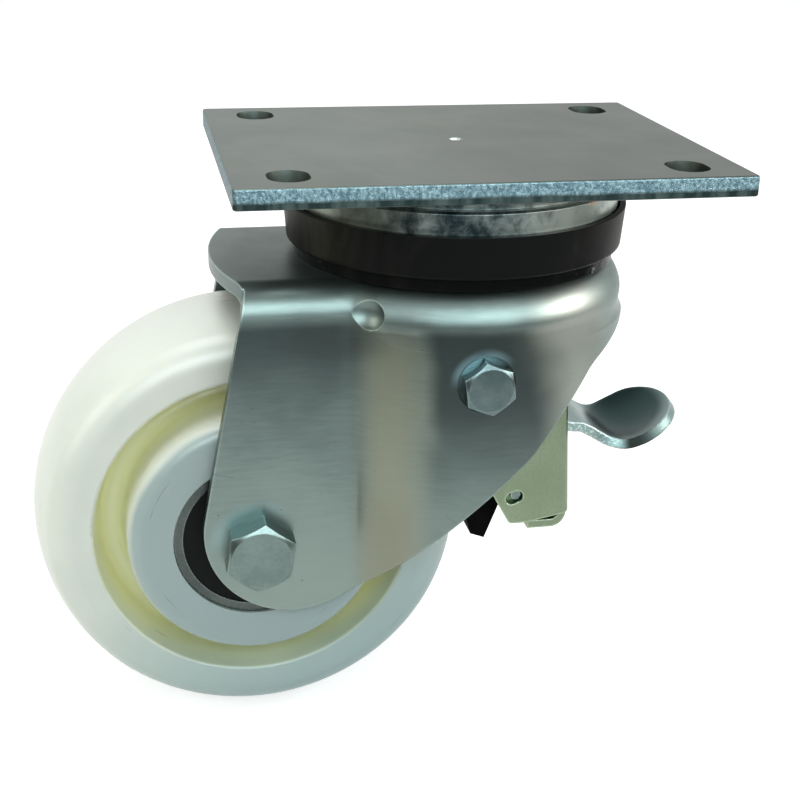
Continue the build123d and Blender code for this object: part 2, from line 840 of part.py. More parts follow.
# Hangers and shoe that swing on the pivot tube.
strap_inner = cheek_inner - side_gap - strap_thickness
rivet_centre = (brake_bolt_y + 8.6, brake_bolt_z - 26.5)
with BuildPart() as shoe_straps:
    for side in (1, -1):
        with BuildSketch(side_view(side * strap_inner)):
            with BuildLine():
                CenterArc(brake_centre, pivot_tube_radius + 3, 0, 360)
                CenterArc(guide_centre, guide_pin_radius + 3, 0, 360)
            make_hull()
            with Locations(brake_centre):
                Circle(pivot_tube_radius + running_gap, mode=Mode.SUBTRACT)
            with Locations(guide_centre):
                Circle(guide_pin_radius, mode=Mode.SUBTRACT)
            with Locations(rivet_centre):
                Circle(shoe_rivet_radius, mode=Mode.SUBTRACT)
        extrude(amount=side * strap_thickness)
shoe_straps.part.label = "shoe_straps"
export_step(shoe_straps.part, "parts/shoe_straps.step")

shoe_face = wheel_radius + shoe_gap
cam_rest = (
    lever_pin_y - cam_offset * cos(radians(cam_start_angle)),
    lever_pin_z - cam_offset * sin(radians(cam_start_angle)),
)
shoe_back = cam_rest[0] - cam_radius - side_gap
shoe_top = lever_pin_z + 3.0
shoe_low = bracket_bottom - 7.0


def face_y(z):
    """The shoe's face at a height, concentric with the tread."""
    return axle_y + sqrt(shoe_face**2 - (z - axle_z) ** 2)


with BuildPart() as brake_shoe:
    with BuildSketch(side_view(-strap_inner)) as shoe_section:
        with BuildLine():
            foot_z = axle_z - 4.5
            middle_z = (shoe_top + foot_z) / 2
            ThreePointArc((face_y(shoe_top), shoe_top), (face_y(middle_z), middle_z), (face_y(foot_z), foot_z))
            Polyline(
                (face_y(foot_z), foot_z),
                (guide_pin_y - 12.4, shoe_low + 1.6),
                (guide_pin_y - 8.1, shoe_low),
                (guide_pin_y - 3.9, guide_pin_z - 4.7),
                (guide_pin_y + 3.4, guide_pin_z - 2.7),
                (guide_pin_y + 3.6, guide_pin_z + 1.8),
                (shoe_back, lever_pin_z - 10.5),
                (shoe_back, shoe_top),
                (face_y(shoe_top), shoe_top),
            )
        make_face()
        with Locations(guide_centre):
            Circle(guide_pin_radius, mode=Mode.SUBTRACT)
        with Locations(rivet_centre):
            Circle(shoe_rivet_radius, mode=Mode.SUBTRACT)
    extrude(amount=2 * strap_inner)
brake_shoe.part.label = "brake_shoe"
export_step(brake_shoe.part, "parts/brake_shoe.step")

with BuildPart() as guide_pin:
    guide_pin_end = bracket_half_width - bracket_sheet / 2
    with BuildSketch(side_view(-guide_pin_end)):
        with Locations(guide_centre):
            Circle(guide_pin_radius)
    extrude(amount=2 * guide_pin_end)
guide_pin.part.label = "guide_pin"
export_step(guide_pin.part, "parts/guide_pin.step")

with BuildPart() as shoe_rivet:
    with BuildSketch(side_view(-strap_inner - strap_thickness)):
        with Locations(rivet_centre):
            Circle(shoe_rivet_radius)
    extrude(amount=2 * (strap_inner + strap_thickness))
shoe_rivet.part.label = "shoe_rivet"
export_step(shoe_rivet.part, "parts/shoe_rivet.step")

# Pedal: a bent strip on a hub that turns on the pin, with a dished, turned-up pad.
hub_half_width = strip_width / 2 - cam_thickness
strip_low_z = lever_pin_z - strip_low_drop
dish_rise = pad_dish_radius - sqrt(pad_dish_radius**2 - strip_join**2)
strip_bend_y = web_foot_y + strip_thickness / 2
strip_bend_run = strip_low_y + strip_join - strip_bend_y
strip_path = (
    (lever_pin_y + lever_pin_radius, lever_pin_z - lever_pin_radius),
    (strip_bend_y, strip_low_z + dish_rise + strip_bend_run * tan(radians(strip_slope))),
    (strip_low_y + strip_join, strip_low_z + dish_rise),
)
dish_centre = (0, strip_low_y, strip_low_z + strip_thickness / 2 + pad_dish_radius)
with BuildPart() as pedal_lever:
    with BuildSketch(side_view()) as strip_section:
        with BuildLine():
            FilletPolyline(*strip_path, radius=6 * strip_thickness)
        trace(line_width=strip_thickness)
        with Locations(lever_centre):
            Circle(lever_pin_radius + 3)
    extrude(amount=strip_width / 2, both=True)
    # the strip is narrower where it passes between the cams
    for side in (1, -1):
        with BuildSketch(Plane.XY.offset(lever_pin_z + 10)):
            with Locations((side * hub_half_width, lever_pin_y - 10)):
                Rectangle(
                    strip_width,
                    10 + web_foot_y - lever_pin_y - bracket_sheet - 3,
                    align=(Align.MIN if side > 0 else Align.MAX, Align.MIN),
                )
        extrude(amount=-30, mode=Mode.SUBTRACT)
    with BuildPart(mode=Mode.PRIVATE) as pad:
        with Locations(dish_centre):
            Sphere(pad_dish_radius + strip_thickness)
            Sphere(pad_dish_radius, mode=Mode.SUBTRACT)
        with BuildSketch(Plane.XY.offset(strip_low_z - strip_thickness)) as pad_plan:
            with Locations((0, strip_low_y)):
                Rectangle(2 * pad_half_width, pad_end_y - strip_low_y, align=(Align.CENTER, Align.MIN))
            fillet(pad_plan.vertices().group_by(Axis.Y)[-1], pad_corner)
            fillet(pad_plan.vertices().group_by(Axis.Y)[0], pad_half_width - strip_width / 2)
        extrude(amount=pad_dish_radius, mode=Mode.INTERSECT)
    add(pad.part)
    with BuildSketch(side_view()):
        with Locations(lever_centre):
            Circle(lever_pin_radius + running_gap)
    extrude(amount=strip_width, both=True, mode=Mode.SUBTRACT)
pedal_lever.part.label = "pedal_lever"
export_step(pedal_lever.part, "parts/pedal_lever.step")

with BuildPart() as brake_cams:
    for side in (1, -1):
        with BuildSketch(side_view(side * hub_half_width)):
            with BuildLine():
                CenterArc(lever_centre, lever_pin_radius + 3, 0, 360)
                CenterArc(cam_rest, cam_radius, 0, 360)
            make_hull()
            with Locations(lever_centre):
                Circle(lever_pin_radius + running_gap, mode=Mode.SUBTRACT)
        extrude(amount=side * cam_thickness)
brake_cams.part.label = "brake_cams"
export_step(brake_cams.part, "parts/brake_cams.step")

with BuildPart() as lever_pin:
    with BuildSketch(side_view(-bracket_half_width - 1.5)):
        with Locations(lever_centre):
            Circle(lever_pin_radius + 1.5)
    extrude(amount=1.5)
    with BuildSketch(side_view(bracket_half_width)):
        with Locations(lever_centre):
            Circle(lever_pin_radius + 1.5)
    extrude(amount=1.5)
    with BuildSketch(side_view(-bracket_half_width)):
        with Locations(lever_centre):
            Circle(lever_pin_radius)
    extrude(amount=2 * bracket_half_width)
lever_pin.part.label = "lever_pin"
export_step(lever_pin.part, "parts/lever_pin.step")
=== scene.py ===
import bpy
from math import cos, pi, radians, sin, sqrt
from mathutils import Matrix, Vector


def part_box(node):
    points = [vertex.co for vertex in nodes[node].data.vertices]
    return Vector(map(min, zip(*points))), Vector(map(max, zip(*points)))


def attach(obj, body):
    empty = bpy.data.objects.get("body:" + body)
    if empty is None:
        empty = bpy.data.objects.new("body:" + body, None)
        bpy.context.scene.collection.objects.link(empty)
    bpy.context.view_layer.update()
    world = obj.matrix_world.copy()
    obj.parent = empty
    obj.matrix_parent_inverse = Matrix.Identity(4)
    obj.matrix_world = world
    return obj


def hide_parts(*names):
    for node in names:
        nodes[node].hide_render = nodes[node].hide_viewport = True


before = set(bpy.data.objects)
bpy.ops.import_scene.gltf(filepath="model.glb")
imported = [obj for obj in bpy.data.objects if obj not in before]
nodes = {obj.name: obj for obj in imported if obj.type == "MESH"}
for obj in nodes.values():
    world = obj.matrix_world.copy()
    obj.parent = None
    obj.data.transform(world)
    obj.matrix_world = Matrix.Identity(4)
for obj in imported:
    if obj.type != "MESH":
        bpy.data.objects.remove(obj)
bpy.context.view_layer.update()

# Braked swivel castor: finishes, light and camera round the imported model.
# Metres. The origin is the middle of the plate's upper face, +Z is up, X runs along the axle
# and the wheel trails towards -Y. Colours are linear red, green and blue.

MM = 0.001

# places on the part
axle_y = -61.0 * MM
axle_z = -106.5 * MM
floor_z = -169.0 * MM
bolt_y = -1.2 * MM
bolt_z = -55.5 * MM
pin_y = 20.0 * MM
pin_z = -77.0 * MM

# fine relief of the zinc, and how wide its edges are softened and worn
zinc_grain = 0.01 * MM
fork_grain = 0.008 * MM
soft_edge = 0.45 * MM
worn_edge = 1.1 * MM

# the round pad of the pedal, in mm
pad_half_width = 15.2
pad_middle_y = 57.5
pad_round_y = 56.3
pad_tip_y = 70.5

seen_rays = ("Is Camera Ray", "Is Glossy Ray", "Is Transmission Ray")


class Amount:
    """A number, colour or vector that varies over a surface. Sums with it add Math nodes."""

    def __init__(self, finish, socket):
        self.finish = finish
        self.socket = socket

    def _sum(self, operation, first, second=None, clamp=False):
        inputs = {0: first} if second is None else {0: first, 1: second}
        settings = {"operation": operation, "use_clamp": clamp}
        return self.finish.node("ShaderNodeMath", settings, inputs)

    def __add__(self, other):
        return self._sum("ADD", self, other)

    def __radd__(self, other):
        return self._sum("ADD", other, self)

    def __sub__(self, other):
        return self._sum("SUBTRACT", self, other)

    def __rsub__(self, other):
        return self._sum("SUBTRACT", other, self)

    def __mul__(self, other):
        return self._sum("MULTIPLY", self, other)

    def __rmul__(self, other):
        return self._sum("MULTIPLY", other, self)

    def __truediv__(self, other):
        return self._sum("DIVIDE", self, other)

    def __pow__(self, other):
        return self._sum("POWER", self, other)

    def size(self):
        return self._sum("ABSOLUTE", self)

    def root(self):
        return self._sum("SQRT", self)

    def clamp(self):
        return self._sum("ADD", self, 0.0, clamp=True)

    def most(self, other):
        return self._sum("MAXIMUM", self, other)

    def ramp(self, low, high, start=0.0, end=1.0):
        """Moves smoothly from start to end as the number goes from low to high."""
        settings = {"interpolation_type": "SMOOTHSTEP"}
        values = {"Value": self, "From Min": low, "From Max": high, "To Min": start, "To Max": end}
        return self.finish.node("ShaderNodeMapRange", settings, values)

    def fall(self, low, high):
        """Moves smoothly from 1 to 0 as the number goes from low to high."""
        return self.ramp(low, high, 1.0, 0.0)


class Finish:
    """One material: a Principled surface and the nodes that vary it."""

    def __init__(self, name, **constants):
        self.material = bpy.data.materials.new(name)
        self.material.use_nodes = True
        self.tree = self.material.node_tree
        self.tree.nodes.clear()
        self.output = self.tree.nodes.new("ShaderNodeOutputMaterial")
        self.surface = self.tree.nodes.new("ShaderNodeBsdfPrincipled")
        self.tree.links.new(self.surface.outputs[0], self.output.inputs["Surface"])
        self.set(**constants)

    def feed(self, socket, value):
        """Links a varying value to an input, or writes a fixed one into it."""
        if isinstance(value, Amount):
            self.tree.links.new(value.socket, socket)
        elif socket.type == "RGBA" and len(value) == 3:
            socket.default_value = (*value, 1.0)
        else:
            socket.default_value = value

    def node(self, kind, settings=None, inputs=None, output=0):
        """Adds a node, with its settings first and then its inputs, and gives one output."""
        new = self.tree.nodes.new(kind)
        for key, value in (settings or {}).items():
            setattr(new, key, value)
        for key, value in (inputs or {}).items():
            self.feed(new.inputs[key], value)
        return Amount(self, new.outputs[output])

    def set(self, **values):
        """Feeds inputs of the surface, named with _ for each space."""
        for socket, value in values.items():
            self.feed(self.surface.inputs[socket.replace("_", " ")], value)

    def place(self):
        """Where the point is on the part at rest, in metres."""
        return self.node("ShaderNodeTexCoord", output="Object")

    def axes(self, vector):
        """The three numbers of a vector."""
        first = self.node("ShaderNodeSeparateXYZ", None, {0: vector})
        return [Amount(self, output) for output in first.socket.node.outputs]

    def upward(self):
        """1 where the surface looks up, 0 where it stands upright, -1 where it looks down."""
        return self.axes(self.node("ShaderNodeNewGeometry", output="Normal"))[2]

    def vector(self, x, y, z):
        return self.node("ShaderNodeCombineXYZ", None, {"X": x, "Y": y, "Z": z})

    def stretch(self, vector, by):
        return self.node("ShaderNodeVectorMath", {"operation": "MULTIPLY"}, {0: vector, 1: by})

    def noise(self, vector, scale, detail=3.0, rough=0.55, bend=0.0, seed=0.0):
        """Soft blotches from 0 to 1, about scale of them per metre. A seed gives other ones."""
        if seed:
            shift = (seed, seed * 0.7, -seed)
            vector = self.node("ShaderNodeVectorMath", {"operation": "ADD"}, {0: vector, 1: shift})
        values = {"Vector": vector, "Scale": scale, "Detail": detail, "Roughness": rough}
        values["Distortion"] = bend
        return self.node("ShaderNodeTexNoise", None, values)

    def line_noise(self, number, scale, detail=2.0):
        """Noise along one number, such as a radius."""
        values = {"W": number, "Scale": scale, "Detail": detail}
        return self.node("ShaderNodeTexNoise", {"noise_dimensions": "1D"}, values)

    def cells(self, vector, scale):
        """0 at scattered points, rising away from them."""
        return self.node("ShaderNodeTexVoronoi", None, {"Vector": vector, "Scale": scale})

    def blend(self, mask, first, second):
        """A colour that goes from first to second as mask goes from 0 to 1."""
        colours = {0: mask, 6: first, 7: second}
        return self.node("ShaderNodeMix", {"data_type": "RGBA"}, colours, output=2)

    def tint(self, mask, colour):
        """Lays a colour over the finish's own, in full where mask is 1."""
        self.colour = self.blend(mask, self.colour, colour)

    def bump(self, height, distance, strength=1.0, under=None):
        values = {"Height": height, "Distance": distance, "Strength": strength}
        if under is not None:
            values["Normal"] = under
        return self.node("ShaderNodeBump", None, values)

    def rounded(self, radius):
        """The surface's direction with its sharp edges softened."""
        return self.node("ShaderNodeBevel", {"samples": 6}, {"Radius": radius})

    def edges(self, radius):
        """1 along outer and inner edges, 0 on open faces."""
        faces = {0: self.rounded(radius), 1: self.node("ShaderNodeNewGeometry", output="Normal")}
        alike = self.node("ShaderNodeVectorMath", {"operation": "DOT_PRODUCT"}, faces, "Value")
        return (1.0 - alike).ramp(0.01, 0.20)

    def scratches(self, vector, scale, width, amount, seed):
        """Few thin curved lines: the level lines of a noise, kept only in patches."""
        level = self.noise(vector, scale, detail=1.0, rough=0.4, bend=0.6, seed=seed) - 0.5
        line = level.size().fall(0.0, width)
        patch = self.noise(vector, scale * 1.7, detail=1.0, rough=0.5, seed=seed + 3.1)
        return line * patch.ramp(1.0 - amount, 1.0 - amount + 0.06)


def zinc(
    name,
    dark,
    light,
    cloud_size,
    rough=(0.28, 0.36),
    grain=zinc_grain,
    brushed=(1, 1, 1),
    mark=0.3,
):
    """Zinc plate: softly clouded, finely brushed, thinly scratched and worn pale on its edges."""
    finish = Finish(name, Metallic=1.0)
    place = finish.place()
    scratched = tuple(part * 0.4 for part in dark)
    bare_metal = tuple(min(part * 2.4, 0.6) for part in light)
    cloud = finish.noise(place, 1 / cloud_size, detail=2.0, rough=0.5, bend=0.3)
    fine = finish.noise(finish.stretch(place, brushed), 1100.0, rough=0.6)
    speck = finish.noise(place, 2600.0, detail=2.0, rough=0.5, seed=5.0)
    patch = finish.noise(place, 60.0, rough=0.6, seed=2.0)
    marks = finish.scratches(place, 34.0, width=0.0022, amount=0.34, seed=11.0)
    edge_wear_and_dark_dish = finish.edges(worn_edge) * fine.ramp(0.25, 0.6, 0.5, 1.0)
    tone = (cloud * 0.65 + fine * 0.35).ramp(0.30, 0.70)
    finish.where = place
    finish.colour = finish.blend(tone, dark, light)
    finish.tint(marks * mark, scratched)
    finish.tint(edge_wear_and_dark_dish * 0.85, bare_metal)
    finish.rough = rough[0] + (rough[1] - rough[0]) * patch + speck * 0.04 + marks * 0.1
    finish.relief = fine * 0.6 + speck * 0.4 - marks * 0.8
    finish.set(Base_Color=finish.colour, Roughness=finish.rough)
    finish.set(Normal=finish.bump(finish.relief, grain, under=finish.rounded(soft_edge)))
    return finish


def fork_finish():
    """Pressed zinc-plated sheet: satin and brushed level, with painted light at the lobe, along the skirt
    and on the shoulder, and painted shade and a painted reflection on the leg.
    """
    lobe_painted_light = (0.195, 0.240, 0.218)
    upper_painted_shade = (0.036, 0.048, 0.050)
    crease_painted_shade = (0.038, 0.050, 0.049)
    skirt_painted_light = (0.40, 0.415, 0.36)
    shoulder_painted_highlight = (0.42, 0.43, 0.39)
    pit_black = (0.02, 0.02, 0.018)
    band_painted_reflection = (0.235, 0.240, 0.168)
    warm_band_reflection = (0.155, 0.148, 0.112)
    under_dent_dark = (0.05, 0.06, 0.055)
    brake_seat_blue = (0.26, 0.40, 0.44)
    axle_seat_blue = (0.22, 0.34, 0.35)
    finish = zinc(
        "fork_zinc",
        dark=(0.108, 0.138, 0.130),
        light=(0.158, 0.198, 0.184),
        cloud_size=30 * MM,
        rough=(0.26, 0.33),
        grain=fork_grain,
        brushed=(0.12, 0.12, 1.0),
        mark=0.8,
    )
    x, y, z = finish.axes(finish.where)
    across = x.size()
    drift = finish.noise(finish.where, 35.0, detail=2.0, rough=0.5, bend=0.4, seed=6.0) - 0.5
    drift = drift * 16 * MM
    height = z + drift
    # rises across the leg, from the wheel's side towards the pedal
    slant = y + z * 0.3 + drift
    below_bend = z.fall(-43 * MM, -39 * MM)
    outside = across.ramp(34 * MM, 36 * MM) * below_bend

    # painted light: paler towards the lobe; painted shade: dark at the top of the leg on the wheel's side
    finish.tint(height.fall(-122 * MM, -70 * MM) * 0.75, lobe_painted_light)
    upper = height.ramp(-72 * MM, -46 * MM) * y.fall(-40 * MM, -30 * MM)
    finish.tint(upper * outside * 0.85, upper_painted_shade)
    # painted shade right of the crease and round the brake bolt, painted light again along the skirt
    beside = (y + drift * 0.5).ramp(-19 * MM, -13 * MM) * slant.fall(-8 * MM, 6 * MM)
    beside = beside * height.ramp(-92 * MM, -60 * MM, 0.15, 0.9)
    finish.tint(beside * outside, crease_painted_shade)
    skirt_light_mask = slant.ramp(-10 * MM, 10 * MM) * across.ramp(28 * MM, 50 * MM) * below_bend
    finish.tint(skirt_light_mask * 0.8, skirt_painted_light)
    # a painted highlight on the cup's shoulder towards the pedal
    shoulder_highlight_mask = y.ramp(8 * MM, 26 * MM) * across.ramp(28 * MM, 44 * MM) * z.ramp(-50 * MM, -42 * MM)
    finish.tint(shoulder_highlight_mask * 0.7, shoulder_painted_highlight)
    # small pits, kept only in patches
    pits = finish.cells(finish.where, 260.0).fall(0.03, 0.09)
    pits = pits * finish.noise(finish.where, 75.0, detail=1.0, rough=0.5, seed=13.0).ramp(0.55, 0.62)
    finish.tint(pits * outside * 0.7, pit_black)
    # a painted reflection: a warm band beside the crease, warmer and darker towards its foot
    middle = y + drift * 0.4
    band_reflection_mask = middle.ramp(-36 * MM, -27 * MM) * middle.fall(-25 * MM, -12 * MM) * outside
    finish.tint(band_reflection_mask * z.ramp(-48 * MM, -40 * MM, 1.0, 0.3) * 0.65, band_painted_reflection)
    finish.tint(band_reflection_mask * height.fall(-100 * MM, -84 * MM) * 0.45, warm_band_reflection)
    # a darker patch under the dent
    patch = (((y + 40 * MM) / 1.7) ** 2.0 + (z + 46 * MM) ** 2.0).root() + drift * 0.5
    finish.tint(patch.fall(2 * MM, 9 * MM) * outside * 0.6, under_dent_dark)
    # the rim of each bolt's seat catches the light from above
    brake_seat = ((y - bolt_y) ** 2.0 + (z - bolt_z) ** 2.0).root()
    rim = brake_seat.fall(7.5 * MM, 10.5 * MM) * (z - y * 0.4).ramp(bolt_z + 2 * MM, bolt_z + 9 * MM)
    finish.tint(rim * outside * 0.75, brake_seat_blue)
    axle_seat = ((y - axle_y) ** 2.0 + (z - axle_z) ** 2.0).root()
    rim = axle_seat.fall(11.0 * MM, 16.0 * MM) * (z - y * 0.5).ramp(-72 * MM, -64 * MM)
    finish.tint(rim * outside * 0.6, axle_seat_blue)

    # satin where the cup and the bend were drawn
    satin = z.ramp(-43 * MM, -39 * MM) * 0.09 + y.ramp(18 * MM, 34 * MM) * 0.06
    finish.set(Base_Color=finish.colour, Roughness=finish.rough + satin)
    # the solid has a ledge under the cup: it is shaded upright like the leg, as the photo shows none
    ledge = z.ramp(-50.0 * MM, -48.2 * MM) * z.fall(-43.6 * MM, -42.0 * MM) * y.ramp(-38 * MM, -32 * MM)
    upright = finish.vector(1.0, 1.0, 1.0 - ledge * brake_seat.ramp(8.0 * MM, 8.6 * MM))
    facing = {0: finish.stretch(finish.rounded(soft_edge), upright)}
    facing = finish.node("ShaderNodeVectorMath", {"operation": "NORMALIZE"}, facing)
    finish.set(Normal=finish.bump(finish.relief, fork_grain, under=facing))
    return finish


def pedal_finish():
    """Darker zinc: darker in the dish, a dull edge round the pad and flecks on the strip's edge."""
    dish_dark = (0.034, 0.064, 0.061)
    dull_edge = (0.020, 0.026, 0.023)
    bright_fleck = (0.55, 0.60, 0.56)
    finish = zinc("pedal_zinc", (0.18, 0.255, 0.245), (0.24, 0.325, 0.31), 16 * MM, (0.26, 0.36))
    x, y, z = finish.axes(finish.where)
    upward = finish.upward()
    aside = (x + 3 * MM) / (pad_half_width * MM)
    along = (y - pad_middle_y * MM) / ((pad_tip_y - pad_middle_y) * MM)
    from_middle = (aside ** 2.0 + along ** 2.0).root()
    # darker on the dish's upper face
    edge_wear_and_dark_dish = y.ramp(43 * MM, 49 * MM) * from_middle.fall(0.75, 1.12) * upward.ramp(0.3, 0.6)
    dull = y.ramp(50 * MM, 54 * MM) * upward.size().fall(0.3, 0.6)
    flecks = finish.noise(finish.where, 1300.0, detail=2.0, rough=0.6, bend=0.3).ramp(0.52, 0.62)
    flecks = flecks * y.fall(46 * MM, 54 * MM) * upward.size().fall(0.5, 0.8)
    finish.tint(dull, dull_edge)
    finish.tint(flecks * 0.7, bright_fleck)
    finish.tint(edge_wear_and_dark_dish, dish_dark)
    finish.set(Base_Color=finish.colour, Roughness=finish.rough + dull * 0.3)
    finish.set(Normal=finish.bump(finish.relief, zinc_grain, under=finish.rounded(0.9 * MM)))
    return finish


def plate_finish():
    """Dull zinc on hot rolled steel, with a rough sheared edge all round."""
    stain_brown = (0.15, 0.14, 0.09)
    far_side_shade = (0.066, 0.080, 0.069)
    scratch_pale = (0.36, 0.38, 0.36)
    mark_bright = (0.55, 0.60, 0.58)
    finish = Finish("plate_zinc", Metallic=1.0)
    place = finish.place()
    x, y, z = finish.axes(place)
    # the outer walls alone, not those of the slots
    edge_from = 0.985
    reach_x, reach_y = (corner * edge_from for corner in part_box("top_plate")[1][:2])
    outer = x.size().ramp(reach_x - MM, reach_x).most(y.size().ramp(reach_y - MM, reach_y))
    edge = finish.upward().size().fall(0.45, 0.75) * outer
    # upper and lower face
    cloud = finish.noise(place, 20.0, detail=4.0, bend=0.5)
    fine = finish.noise(place, 700.0, rough=0.65)
    stain = finish.noise(place, 16.0, rough=0.6, bend=1.2, seed=7.0).ramp(0.55, 0.75)
    speck = finish.cells(place, 420.0).fall(0.02, 0.11)
    marks = finish.scratches(place, 22.0, width=0.0025, amount=0.35, seed=3.0)
    centre = (x ** 2.0 + y ** 2.0).root()
    finish.colour = finish.blend(cloud.ramp(0.3, 0.7), (0.098, 0.122, 0.106), (0.132, 0.155, 0.136))
    finish.tint(stain * 0.35, stain_brown)
    # painted shade: darker towards the far side, +Y
    finish.tint(y.ramp(-40 * MM, 40 * MM) * 0.8, far_side_shade)
    finish.tint(marks * 0.4, scratch_pale)
    finish.tint(centre.fall(1.5 * MM, 2.2 * MM) * 0.8, mark_bright)
    # sheared edge: torn and bright above, burnished and darker below
    wave = finish.noise(place, 90.0, detail=2.0, rough=0.5, seed=4.0) * 0.9 * MM
    torn = (z + wave).ramp(-3.6 * MM, -2.7 * MM)
    flakes = finish.noise(finish.stretch(place, (1, 1, 0.7)), 1300.0, rough=0.6, bend=0.3)
    streak = finish.noise(finish.stretch(place, (1, 1, 0.12)), 300.0, detail=2.0, rough=0.5, seed=9.0)
    pale = finish.blend(flakes.ramp(0.34, 0.70), (0.070, 0.115, 0.135), (0.19, 0.27, 0.29))
    burnished = finish.blend(streak.ramp(0.35, 0.7), (0.02, 0.032, 0.032), (0.07, 0.095, 0.09))
    finish.tint(edge, finish.blend(torn, burnished, pale))
    rough = finish.noise(place, 45.0, rough=0.6, seed=1.0) * 0.12 + 0.34 + edge * torn * 0.10
    finish.set(Base_Color=finish.colour, Roughness=rough)
    grain = finish.bump((fine * 0.8 - speck * 0.5) * (1.0 - edge), 0.025 * MM)
    finish.set(Normal=finish.bump(flakes * torn * edge, 0.30 * MM, 0.8, grain))
    return finish


def race_finish():
    """Turned ring with softly blotched zinc, painted reflections lighter on both sides, and a touch of
    rust near its upper rim.
    """
    left_reflection_zinc = (0.20, 0.22, 0.17)
    rust_brown = (0.42, 0.22, 0.09)
    finish = Finish("race_zinc", Metallic=1.0)
    place = finish.place()
    x, y, z = finish.axes(place)
    blotch = finish.noise(finish.stretch(place, (1, 1, 0.5)), 60.0, detail=4.0, rough=0.6, bend=0.6)
    mottle = finish.noise(place, 210.0, detail=4.0, rough=0.65, bend=0.3, seed=8.0)
    turned = finish.line_noise(z, 1800.0)
    # painted reflection: lighter towards both sides
    painted_side_reflection = y.ramp(-8 * MM, 24 * MM) + y.ramp(-36 * MM, -14 * MM, 0.35, 0.0)
    tone = (blotch * 0.45 + mottle * 0.55 + painted_side_reflection * 0.20).ramp(0.40, 0.72)
    finish.colour = finish.blend(tone, (0.020, 0.034, 0.038), (0.34, 0.38, 0.35))
    # painted reflection: warm and lighter on the trailing side
    finish.tint(y.ramp(-34 * MM, -20 * MM, 0.6, 0.0), left_reflection_zinc)
    # one rusty spot on the side that the camera sees
    spot = ((y - 29.5 * MM) ** 2.0 + (z + 9.0 * MM) ** 2.0 * 0.8).root()
    ragged = (finish.noise(place, 420.0, rough=0.7) - 0.5) * 5 * MM
    rust = (spot + ragged).fall(0.8 * MM, 3.0 * MM) * x.ramp(20 * MM, 26 * MM)
    finish.tint(rust * 0.8, rust_brown)
    finish.set(Base_Color=finish.colour, Roughness=0.26 + blotch * 0.16 + rust * 0.3)
    rounded = finish.rounded(0.3 * MM)
    finish.set(Normal=finish.bump(turned * 0.6 + blotch, 0.02 * MM, under=rounded))
    return finish


def seal_finish():
    """Black moulded seal with a painted sheen on both sides above its foot, glossy with grease at its
    foot.
    """
    dust_and_sheen = (0.030, 0.028, 0.022)
    finish = Finish("seal_black", Specular_IOR_Level=0.05, Coat_Roughness=0.12)
    place = finish.place()
    x, y, z = finish.axes(place)
    smear = finish.noise(finish.stretch(place, (1, 1, 0.4)), 55.0, detail=4.0, rough=0.6, bend=0.8)
    blobs = finish.noise(place, 260.0, detail=4.0, rough=0.6, bend=0.8, seed=2.0)
    grease = z.fall(-29.0 * MM, -25.0 * MM)
    wet = y.ramp(8 * MM, 30 * MM) + y.ramp(-44 * MM, -36 * MM, 0.6, 0.0)
    # painted sheen: brownish smears lighter towards both sides, above the foot
    painted_side_sheen = y.fall(-48 * MM, -26 * MM) + y.ramp(24 * MM, 46 * MM)
    finish.colour = finish.blend(smear.ramp(0.5, 0.8), (0.0045, 0.0050, 0.0048), (0.012, 0.011, 0.009))
    finish.tint(painted_side_sheen * smear.ramp(0.35, 0.6) * (1.0 - grease), dust_and_sheen)
    finish.set(Base_Color=finish.colour, Roughness=0.36 - grease * 0.2 + smear * 0.14)
    finish.set(Coat_Weight=grease * blobs.ramp(0.60, 0.63) * wet)
    height = blobs * grease * (wet * 4.0 + 1.0) + smear
    finish.set(Normal=finish.bump(height, 0.06 * MM, under=finish.rounded(0.4 * MM)))
    return finish


def bearing_seal_finish():
    """Plain black seal of the ball bearings."""
    finish = Finish("bearing_seal_black", Specular_IOR_Level=0.05)
    grain = finish.noise(finish.place(), 900.0, detail=2.0, rough=0.6)
    finish.set(Base_Color=finish.blend(grain, (0.006, 0.007, 0.007), (0.010, 0.011, 0.011)))
    finish.set(Roughness=0.40 + grain * 0.1, Normal=finish.bump(grain, 0.02 * MM))
    return finish


def shoe_finish():
    """Dull black moulded shoe."""
    finish = Finish("shoe_black", Specular_IOR_Level=0.02)
    place = finish.place()
    dust_and_sheen = finish.noise(place, 90.0, detail=4.0, rough=0.6)
    grain = finish.noise(place, 1500.0, detail=2.0, rough=0.6)
    colour = finish.blend(dust_and_sheen.ramp(0.5, 0.8), (0.002, 0.002, 0.002), (0.007, 0.006, 0.005))
    finish.set(Base_Color=colour, Roughness=0.5 + dust_and_sheen * 0.2, Normal=finish.bump(grain, 0.04 * MM))
    return finish


